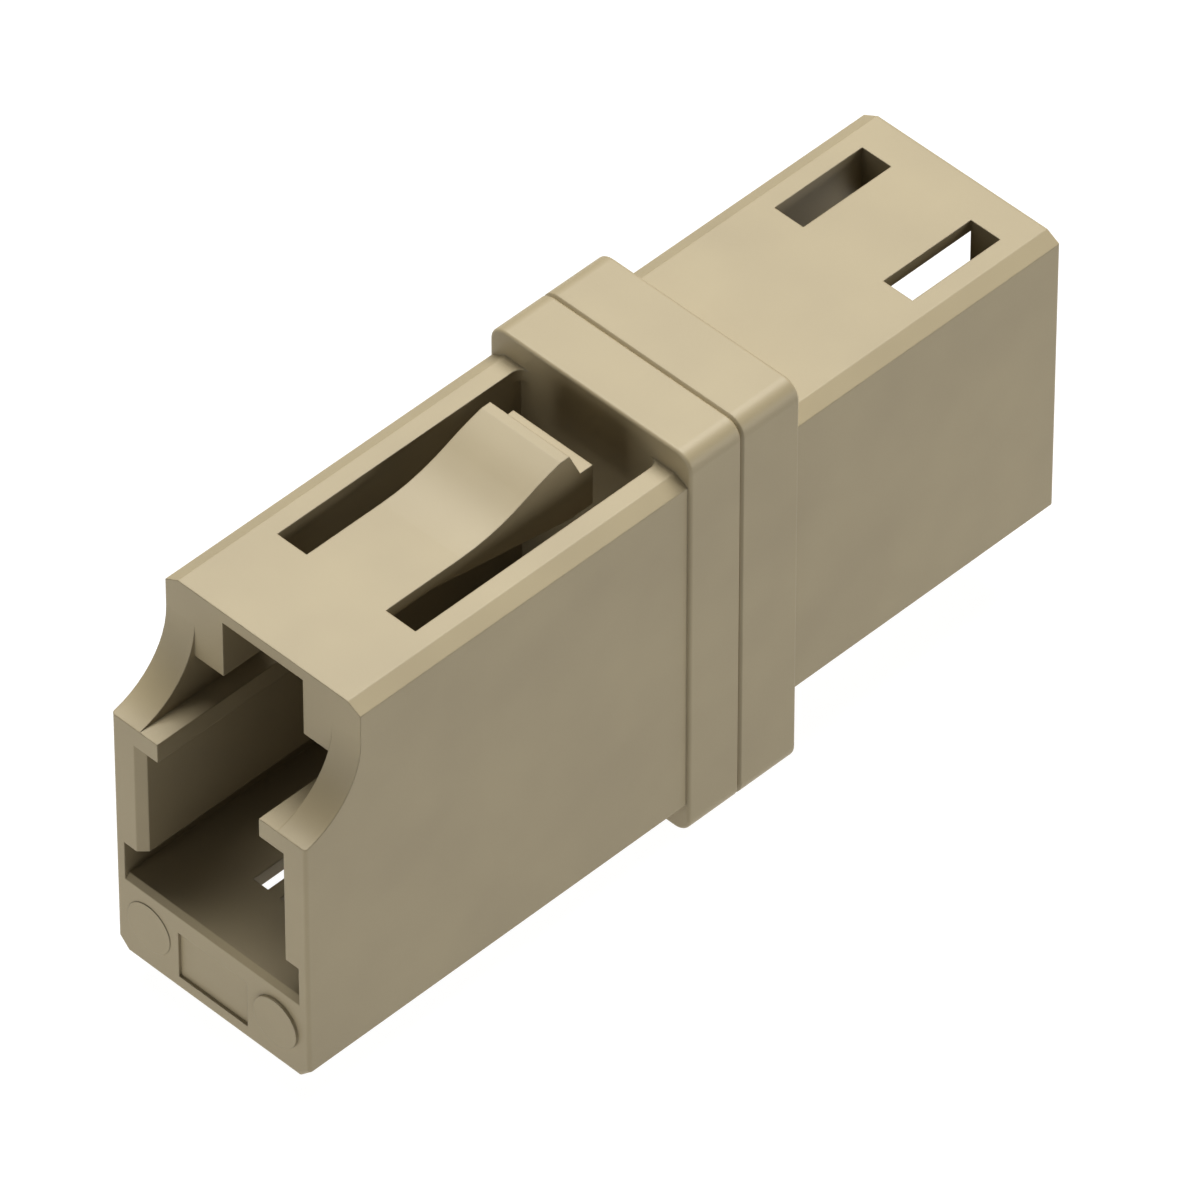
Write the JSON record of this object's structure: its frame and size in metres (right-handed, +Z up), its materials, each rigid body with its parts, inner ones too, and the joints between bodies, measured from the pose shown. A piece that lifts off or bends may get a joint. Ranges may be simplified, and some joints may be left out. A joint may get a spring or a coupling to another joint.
{
  "type": "lc fibre adapter",
  "caption": "Simplex LC fibre adapter: two welded half housings with a central flange, a sprung panel latch on the front half and a split alignment sleeve inside.",
  "frame": {"origin": "middle of the split sleeve: on the ferrule axis, in the plane where the two halves meet", "axes": "+Y along the fibre towards the rear socket, +Z up towards the panel latch, +X across, to the right when looking into the front socket"},
  "size_m": [0.0066, 0.0254, 0.0126],
  "materials": {
    "moulding": "fine matt",
    "ceramic": "ground",
    "holder": "satin"
  },
  "bodies": {
    "housing": {"front_housing": "moulding", "rear_housing": "moulding", "split_sleeve": "ceramic", "sleeve_holder_front": "holder", "sleeve_holder_rear": "holder"},
    "latch": {"panel_latch": "moulding"}
  },
  "joints": [
    {"name": "latch_flex", "type": "hinge", "parent": "housing", "child": "latch", "pos_m": [0, -0.00976, 0.00589], "axis": [1, 0, 0], "range_deg": [-8, 0], "stiffness_Nm_per_rad": 0.2}
  ]
}
